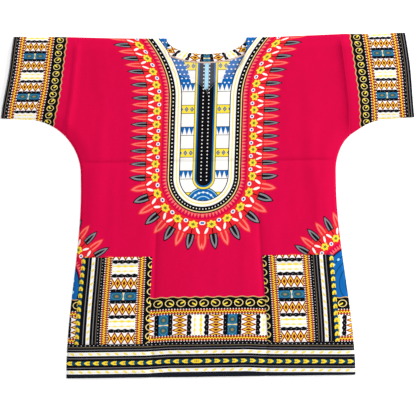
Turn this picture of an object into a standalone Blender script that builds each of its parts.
"""A dashiki shirt lying flat on its back, front up, neck towards +Y.

The shirt is cut from printed cotton: a back panel, a front panel with a scooped neck and a small
notch, two sleeve ends that wrap over the shoulder line, two patch pockets and a facing inside the
back neck. Left and right are the wearer's, so the wearer's right side lies at -X.
The floor is z = 0, and the origin is under the middle of the shirt's outline.
"""

import math

import bpy

# Driving sizes, in metres
LENGTH = 0.7465  # shoulder fold beside the neck, to the hem
CUFF_LIFT = 0.008  # the shoulder fold rises this far towards the cuffs
SLEEVE_SHIFT = 0.0062  # both sleeve ends lie this far over towards the wearer's left
SLEEVE_SAG = 0.0086  # and the left one's lower edge lies this much lower
CHEST_HALF = 0.2812  # half the width below the underarm
HEM_HALF = 0.3187  # half the width at the hem
ARMHOLE_TOP = 0.290  # from the middle to the sleeve seam, at the shoulder fold
CUFF_TOP = 0.431  # from the middle to the cuff's upper corner
CUFF_LOW = 0.4555  # from the middle to the cuff's lower corner
UNDERARM_RADIUS = 0.119
UNDERARM_DROP = 0.2966  # shoulder fold down to the centre of the underarm curve
ARMHOLE_ANGLE = math.radians(44)  # where the sleeve seam meets the underarm curve
CHEST_DROP = 0.3209  # shoulder fold down to where the sides start to flare

NECK_HALF = 0.088  # half the width of the neck at the shoulder fold
SCOOP_DEPTH = 0.0935  # front neck, without its notch
SCOOP_POWER = 2.5
NOTCH_HALF = 0.026
NOTCH_TOP = 0.0925
NOTCH_DEPTH = 0.120
NOTCH_POWER = 1.6
BACK_NECK_DEPTH = 0.035
FACING_HALF = 0.115  # outer curve of the facing inside the back neck
FACING_DEPTH = 0.055

WALL = 0.0012  # cloth
SEAM_GAP = 0.0003  # between pieces that are sewn or lie on each other
HEM_TURN = 0.0145  # width of the turned hem
HEM_STEP = 0.0007  # its second layer
POCKET_TOP = 0.4805  # shoulder fold down to the pocket's mouth
POCKET_LOW = 0.6720
POCKET_TURN = 0.018  # turned edge at the pocket's mouth

# For each side: where its press crease and its pocket lie, as shares of the half width, and the
# pocket's outer edge at its mouth and at its foot
RIGHT = {"sign": -1, "crease": 0.408, "pocket_in": 0.431, "pocket_out": (0.957, 0.948)}
LEFT = {"sign": 1, "crease": 0.385, "pocket_in": 0.399, "pocket_out": (0.928, 0.897)}
# How far the crease reaches towards the middle and outwards. Then the sleeve seam's ridge: its height,
# its reach towards -X and towards +X, and how its flanks fall off (1 like a fold, 2 round)
RIGHT.update({"crease_reach": (0.009, 0.018), "ridge": 0.0022, "ridge_reach": (0.0050, 0.0075)})
LEFT.update({"crease_reach": (0.010, 0.011), "ridge": 0.0030, "ridge_reach": (0.0110, 0.0450)})
RIGHT["ridge_power"] = (2, 2)
LEFT["ridge_power"] = (1, 2)

# How high the upper layer stands over the lower one
PUFF = 0.0030
EDGE_REACH = 0.030  # the sewn edges press it down over this width
CREASE_DEPTH = 0.0024
CREASE_TOP = 0.34  # shoulder fold down to where the long creases fade out
FACING_ROOM = 0.0020  # the front lies over the facing beside the neck

# Creases pressed across the shirt: drop below the shoulder fold, depth, reach downwards and upwards
CROSS_CREASES = [(0.270, 0.0017, 0.018, 0.005), (0.6087, 0.0010, 0.012, 0.005)]

# Soft folds: centre x and y, direction in degrees, half length, half width, height
SOFT_FOLDS = [
    (-0.236, 0.110, 86, 0.120, 0.013, 0.0008),
    (-0.180, 0.030, 88, 0.130, 0.012, 0.0006),
    (0.226, 0.125, 93, 0.120, 0.014, 0.0008),
    (0.192, -0.005, 91, 0.120, 0.012, 0.0006),
    (0.020, -0.190, 91, 0.150, 0.010, 0.0004),
    (0.076, -0.130, 90, 0.130, 0.012, 0.0009),
    (-0.212, -0.060, 87, 0.100, 0.012, 0.0006),
    (0.241, -0.040, 92, 0.090, 0.010, 0.0007),
    (-0.362, 0.285, 84, 0.080, 0.013, 0.0007),
    (0.374, 0.275, 97, 0.075, 0.013, 0.0007),
]

HEM_Y = -(LENGTH + CUFF_LIFT) / 2
SHOULDER_Y = HEM_Y + LENGTH
UNDERARM_Y = SHOULDER_Y - UNDERARM_DROP
UNDERARM_X = CHEST_HALF + UNDERARM_RADIUS
CHEST_Y = SHOULDER_Y - CHEST_DROP
ARMHOLE_LOW_X = UNDERARM_X - UNDERARM_RADIUS * math.cos(ARMHOLE_ANGLE)
ARMHOLE_LOW_Y = UNDERARM_Y + UNDERARM_RADIUS * math.sin(ARMHOLE_ANGLE)
SLEEVE_LOW_Y = UNDERARM_Y + UNDERARM_RADIUS
CUFF_LOW_Y = SLEEVE_LOW_Y + 0.003


def eased(t):
    """0 to 1, level at both ends."""
    t = min(1.0, max(0.0, t))
    return t * t * (3 - 2 * t)


def half_width(y):
    """From the middle to the side seam, the underarm curve or the sleeve seam."""
    if y < CHEST_Y:
        return CHEST_HALF + (HEM_HALF - CHEST_HALF) * eased((CHEST_Y - y) / (CHEST_Y - HEM_Y))
    if y < UNDERARM_Y:
        return CHEST_HALF
    if y < ARMHOLE_LOW_Y:
        return UNDERARM_X - math.sqrt(UNDERARM_RADIUS**2 - (y - UNDERARM_Y) ** 2)
    share = (y - ARMHOLE_LOW_Y) / (SHOULDER_Y - ARMHOLE_LOW_Y)
    return ARMHOLE_LOW_X + (ARMHOLE_TOP - ARMHOLE_LOW_X) * share


def front_neck_half(y):
    """Half the front neck's width at height y: a scoop with a notch under it."""
    depth = SHOULDER_Y - y
    scoop = max(0.0, 1 - (max(0.0, depth) / SCOOP_DEPTH) ** SCOOP_POWER)
    notch = min(1.0, max(0.0, (NOTCH_DEPTH - depth) / (NOTCH_DEPTH - NOTCH_TOP)))
    return max(NECK_HALF * scoop ** (1 / SCOOP_POWER), NOTCH_HALF * notch**NOTCH_POWER)


def back_neck_half(y):
    depth = max(0.0, SHOULDER_Y - y)
    return NECK_HALF * math.sqrt(max(0.0, 1 - (depth / BACK_NECK_DEPTH) ** 2))


def laid(x, y):
    """Where a point of the flat cut lies: the shoulders rise to the cuffs, and the sleeves lie unevenly."""
    across = eased((abs(x) - NECK_HALF) / (CUFF_TOP - NECK_HALF))
    rise = CUFF_LIFT * across * eased((y - UNDERARM_Y) / (SHOULDER_Y - UNDERARM_Y))
    out = eased((abs(x) - ARMHOLE_TOP) / (CUFF_TOP - ARMHOLE_TOP))
    over = eased((abs(x) - 0.200) / 0.090) * eased((y - 0.150 - 0.042 * out) / (0.090 + 0.030 * out))
    sleeve_share = eased((y - SLEEVE_LOW_Y) / (SHOULDER_Y - SLEEVE_LOW_Y))
    down = eased((x - 0.290) / 0.045) * eased((y - CHEST_Y) / 0.024) * (1 - 0.75 * sleeve_share)
    return x + SLEEVE_SHIFT * over, y + rise - SLEEVE_SAG * down


def sewn_edge_distance(x, y):
    """How far a point is from the nearest side seam, underarm or shoulder fold."""
    x = abs(x)
    if y < UNDERARM_Y:
        side = half_width(y) - x
    elif x < UNDERARM_X:
        side = math.hypot(x - UNDERARM_X, y - UNDERARM_Y) - UNDERARM_RADIUS
    else:
        side = y - SLEEVE_LOW_Y
    return max(0.0, min(side, SHOULDER_Y - y))


def crease_share(side, y):
    """1 along a long press crease, fading out below the neck's print."""
    return eased((SHOULDER_Y - y - CREASE_TOP) / 0.10)


def clearance(x, y):
    """Height of the upper layer's underside over the lower layer's top."""
    side = LEFT if x > 0 else RIGHT
    height = PUFF
    off_crease = abs(x) - side["crease"] * half_width(min(y, CHEST_Y))
    reach = side["crease_reach"][1 if off_crease > 0 else 0]
    height -= CREASE_DEPTH * crease_share(side, y) * math.exp(-abs(off_crease) / reach)
    for drop, depth, downwards, upwards in CROSS_CREASES:
        off_line = y - (SHOULDER_Y - drop)
        height -= depth * math.exp(-abs(off_line) / (upwards if off_line > 0 else downwards))
    off_seam = x - side["sign"] * half_width(max(y, ARMHOLE_LOW_Y))
    flank = 1 if off_seam > 0 else 0
    ridge = math.exp(-((abs(off_seam) / side["ridge_reach"][flank]) ** side["ridge_power"][flank]))
    height += side["ridge"] * ridge * eased((y - ARMHOLE_LOW_Y + 0.02) / 0.04)
    for fold_x, fold_y, degrees, half_length, half_wide, rise in SOFT_FOLDS:
        turn = math.radians(degrees)
        along = (x - fold_x) * math.cos(turn) + (y - fold_y) * math.sin(turn)
        across = (y - fold_y) * math.cos(turn) - (x - fold_x) * math.sin(turn)
        height += rise * math.exp(-((along / half_length) ** 2) - (across / half_wide) ** 2)
    pressed = eased(sewn_edge_distance(x, y) / EDGE_REACH)
    hem = 0.35 + 0.65 * eased((y - HEM_Y) / 0.05)
    height = SEAM_GAP + max(0.0003, height) * pressed * hem
    beside_neck = 1 - eased((abs(x) - FACING_HALF - 0.012) / 0.05)
    by_shoulder = 1 - eased((SHOULDER_Y - y - FACING_DEPTH - 0.012) / 0.05)
    return max(height, SEAM_GAP + FACING_ROOM * beside_neck * by_shoulder)


def upper_layer(x, y):
    """(underside, outer face) of the upper layer of cloth."""
    under = WALL + clearance(x, y)
    return under, under + WALL


def cloth_material(name, colour):
    material = bpy.data.materials.new(name)
    material.use_nodes = True
    shader = material.node_tree.nodes["Principled BSDF"]
    shader.inputs["Base Color"].default_value = (*colour, 1)
    shader.inputs["Roughness"].default_value = 0.85
    shader.inputs["Metallic"].default_value = 0
    return material


def add_object(name, vertices, faces, colour):
    mesh = bpy.data.meshes.new(name)
    mesh.from_pydata(vertices, [], faces)
    mesh.validate()
    mesh.materials.append(cloth_material(name, colour))
    mesh.shade_smooth()
    mesh.set_sharp_from_angle(angle=math.radians(40))
    piece = bpy.data.objects.new(name, mesh)
    bpy.context.scene.collection.objects.link(piece)
    return piece


def cloth_wall(name, points, quads, colour):
    """A closed wall. points: key to (x, y, lower z, upper z). quads: keys, counterclockwise from above."""
    keys = sorted({key for quad in quads for key in quad})
    number = {key: index for index, key in enumerate(keys)}
    count = len(keys)
    vertices = [(*points[key][:2], points[key][3]) for key in keys]
    vertices += [(*points[key][:2], points[key][2]) for key in keys]
    faces = [tuple(number[key] for key in quad) for quad in quads]
    edges = {}
    for face in faces:
        for a, b in zip(face, face[1:] + face[:1]):
            edges[(a, b)] = True
    rims = [(b, a, a + count, b + count) for a, b in edges if (b, a) not in edges]
    undersides = [tuple(index + count for index in reversed(face)) for face in faces]
    return add_object(name, vertices, faces + undersides + rims, colour)


def body_columns(side, y):
    """Shares of the half width where columns of points run, with pairs at the crease and the pocket."""
    crease, pocket_in = side["crease"], side["pocket_in"]
    mouth, foot = side["pocket_out"]
    down = (SHOULDER_Y - y - POCKET_TOP) / (POCKET_LOW - POCKET_TOP)
    pocket_out = mouth + (foot - mouth) * min(1.0, max(0.0, down))
    between = [pocket_in + (pocket_out - pocket_in) * share for share in (0.10, 0.25, 0.42, 0.6, 0.8)]
    inner = [crease * share for share in (0, 0.2, 0.4, 0.58, 0.74, 0.87, 0.96)]
    return inner + [crease, pocket_in, *between, pocket_out, 1.0]


def body_rows(neck_depths):
    """Heights of the rows of points, from the hem to the shoulder fold."""
    low = [HEM_Y, HEM_Y + HEM_TURN - 0.001, HEM_Y + HEM_TURN]
    pocket = [SHOULDER_Y - POCKET_LOW + 0.1915 * share for share in (0, 0.12, 0.28, 0.331, 0.38, 0.55, 0.74)]
    mouth = [SHOULDER_Y - POCKET_TOP - POCKET_TURN, SHOULDER_Y - POCKET_TOP]
    belly = [SHOULDER_Y - drop for drop in (0.455, 0.43, 0.405, 0.38, 0.355, CHEST_DROP, UNDERARM_DROP)]
    chest = [SHOULDER_Y - drop for drop in (0.283, 0.270, 0.263, 0.250, 0.235)]
    underarm = [ARMHOLE_LOW_Y + step for step in (0, 0.013, 0.026, 0.040, 0.056, 0.070)]
    neck = [SHOULDER_Y - depth for depth in neck_depths]
    return sorted({round(y, 5) for y in low + pocket + mouth + belly + chest + underarm + neck})


def body_grid(neck_half, neck_low, neck_depths):
    """Points (side, row, column) of the flat cut, and the quads between them."""
    spots, quads = {}, []
    rows = body_rows(neck_depths)
    for side in (RIGHT, LEFT):
        for row, y in enumerate(rows):
            columns = body_columns(side, y)
            inner, outer = neck_half(y), half_width(y)
            for column, share in enumerate(columns):
                key = (side["sign"] if column or y > neck_low + 1e-5 else 0, row, column)
                spots[key] = (side["sign"] * (inner + (outer - inner) * share), y)
        for row in range(len(rows) - 1):
            for column in range(len(columns) - 1):
                corners = [(row, column), (row, column + 1), (row + 1, column + 1), (row + 1, column)]
                quad = [
                    (side["sign"] if c or rows[r] > neck_low + 1e-5 else 0, r, c) for r, c in corners
                ]
                quads.append(tuple(quad if side is LEFT else reversed(quad)))
    return spots, quads, rows


def front_panel():
    neck_depths = (0, 0.016, 0.032, 0.046, 0.058, 0.068, 0.076, 0.082, 0.0865, 0.0898, 0.0921)
    notch_depths = (0.096, 0.101, 0.107, 0.1135, NOTCH_DEPTH, 0.140)
    depths = neck_depths + notch_depths
    spots, quads, rows = body_grid(front_neck_half, SHOULDER_Y - NOTCH_DEPTH, depths)
    points = {}
    for key, (x, y) in spots.items():
        under, outer = upper_layer(x, y)
        turned = HEM_STEP if y < HEM_Y + HEM_TURN - 0.0005 else 0
        points[key] = (*laid(x, y), under, outer + turned)
    cloth_wall("front_panel", points, quads, (0.70, 0.005, 0.06))
    return spots, points, rows


def back_panel():
    depths = (0, 0.008, 0.016, 0.023, 0.028, 0.0315, 0.034, BACK_NECK_DEPTH, 0.06, 0.09, 0.13)
    spots, quads, _ = body_grid(back_neck_half, SHOULDER_Y - BACK_NECK_DEPTH, depths)
    points = {key: (*laid(x, y), 0.0, WALL) for key, (x, y) in spots.items()}
    cloth_wall("back_panel", points, quads, (0.62, 0.004, 0.05))


def pocket(name, side, panel_spots, panel_points, rows):
    """A patch pocket, made from the front panel's own points under it, moved out."""
    columns = body_columns(side, SHOULDER_Y)
    inside = [i for i, share in enumerate(columns) if side["pocket_in"] <= share <= side["pocket_out"][0]]
    low, high = SHOULDER_Y - POCKET_LOW, SHOULDER_Y - POCKET_TOP
    held = [i for i, y in enumerate(rows) if low - 1e-5 <= y <= high + 1e-5]
    points = {}
    for row in held:
        for column in inside:
            key = (side["sign"], row, column)
            x, y, _, outer = panel_points[key]
            turned = HEM_STEP if rows[row] > high - POCKET_TURN + 0.0005 else 0
            points[row, column] = (x, y, outer + SEAM_GAP, outer + SEAM_GAP + WALL + turned)
    quads = []
    for row in held[:-1]:
        for column in inside[:-1]:
            quad = [(row, column), (row, column + 1), (row + 1, column + 1), (row + 1, column)]
            quads.append(tuple(quad if side is LEFT else reversed(quad)))
    cloth_wall(name, points, quads, (0.75, 0.42, 0.05))


def neck_facing():
    """The strip sewn inside the back neck, lying on the back panel's inner face."""
    steps, bands, widest = 28, 2, math.radians(86)
    points, quads = {}, []
    low = WALL + SEAM_GAP
    for step in range(steps + 1):
        turn = widest * (2 * step / steps - 1)
        for band in range(bands + 1):
            share = band / bands
            wide = NECK_HALF + 0.001 + (FACING_HALF - NECK_HALF - 0.001) * share
            deep = BACK_NECK_DEPTH + 0.001 + (FACING_DEPTH - BACK_NECK_DEPTH - 0.001) * share
            x, y = wide * math.sin(turn), SHOULDER_Y - deep * math.cos(turn)
            points[step, band] = (*laid(x, y), low, low + WALL - 0.0002)
    for step in range(steps):
        for band in range(bands):
            quads.append(((step, band), (step, band + 1), (step + 1, band + 1), (step + 1, band)))
    cloth_wall("neck_facing", points, quads, (0.80, 0.62, 0.40))


def sleeve_low_point(share):
    """A point of the sleeve's lower edge: round the underarm curve, then straight to the cuff."""
    arc = UNDERARM_RADIUS * (math.pi / 2 - ARMHOLE_ANGLE)
    straight = CUFF_LOW - UNDERARM_X
    along = share * (arc + straight)
    if along < arc:
        turn = ARMHOLE_ANGLE + along / UNDERARM_RADIUS
        x = UNDERARM_X - UNDERARM_RADIUS * math.cos(turn)
        return x, UNDERARM_Y + UNDERARM_RADIUS * math.sin(turn)
    rest = (along - arc) / straight
    return UNDERARM_X + straight * rest, SLEEVE_LOW_Y + (CUFF_LOW_Y - SLEEVE_LOW_Y) * rest


def sleeve_ring(share, sign, turned):
    """One section of a flattened sleeve: lists of outer and inner points, in step with each other."""
    low_x, low_y = sleeve_low_point(share)
    top_x = ARMHOLE_TOP + (CUFF_TOP - ARMHOLE_TOP) * share
    across = (top_x - low_x, SHOULDER_Y - low_y)
    length = math.hypot(*across)
    gap = SEAM_GAP * (1 - min(1.0, share / 0.02))

    def spot(distance, z):
        at = distance / length
        return *laid(sign * (low_x + across[0] * at + gap), low_y + across[1] * at), z

    def upper(distance):
        at = distance / length
        return upper_layer(sign * (low_x + across[0] * at), low_y + across[1] * at)

    round_in, wall_in = 0.0008, WALL
    levels = [0.03, 0.08, 0.14, 0.20, 0.26, 0.33, 0.41, 0.5, 0.61, 0.73, 0.84, 0.92, 0.97]
    lower_levels = [0.08, 0.14, 0.20, 0.26, 0.33, 0.41, 0.55, 0.7, 0.85]
    lower = [round_in] + [length * at for at in lower_levels] + [length - round_in]
    outer = [spot(distance, 0) for distance in lower]
    inner = [spot(min(max(distance, 2 * wall_in), length - 2 * wall_in), WALL) for distance in lower]
    fold_top = 2 * WALL + SEAM_GAP
    outer += [spot(length, WALL * 0.6), spot(length, fold_top - WALL * 0.6)]
    inner += [spot(length - wall_in, WALL + SEAM_GAP / 3), spot(length - wall_in, WALL + SEAM_GAP * 2 / 3)]
    for at in reversed(levels):
        under, over = upper(at * length)
        outer.append(spot(at * length, over + turned))
        inner.append(spot(at * length, under))
    outer += [spot(0, fold_top - WALL * 0.6), spot(0, WALL * 0.6)]
    inner += [spot(wall_in, WALL + SEAM_GAP * 2 / 3), spot(wall_in, WALL + SEAM_GAP / 3)]
    return outer, inner


def sleeve(name, side):
    """A sleeve end, folded over the shoulder line and sewn under the arm: a flattened tube."""
    sign = side["sign"]
    hem_share = 1 - HEM_TURN / (CUFF_TOP - ARMHOLE_TOP)
    shares = [0, 0.05, 0.12, 0.22, 0.34, 0.47, 0.6, 0.74, hem_share - 0.008, hem_share, 1]
    rings = [sleeve_ring(s, sign, HEM_STEP if s >= hem_share else 0) for s in shares]
    count = len(rings[0][0])
    vertices = [point for outer, inner in rings for point in outer + inner]
    faces = []
    for ring in range(len(rings) - 1):
        here, there = ring * 2 * count, (ring + 1) * 2 * count
        for i in range(count):
            j = (i + 1) % count
            faces.append((here + i, here + j, there + j, there + i))
            faces.append((here + count + j, here + count + i, there + count + i, there + count + j))
    last = (len(rings) - 1) * 2 * count
    for i in range(count):
        j = (i + 1) % count
        faces.append((j, i, count + i, count + j))
        faces.append((last + i, last + j, last + count + j, last + count + i))
    if sign < 0:
        faces = [tuple(reversed(face)) for face in faces]
    add_object(name, vertices, faces, (0.66, 0.30, 0.06))


def main():
    for thing in list(bpy.data.objects):
        bpy.data.objects.remove(thing, do_unlink=True)
    back_panel()
    spots, points, rows = front_panel()
    pocket("pocket_right", RIGHT, spots, points, rows)
    pocket("pocket_left", LEFT, spots, points, rows)
    neck_facing()
    sleeve("sleeve_right", RIGHT)
    sleeve("sleeve_left", LEFT)


main()
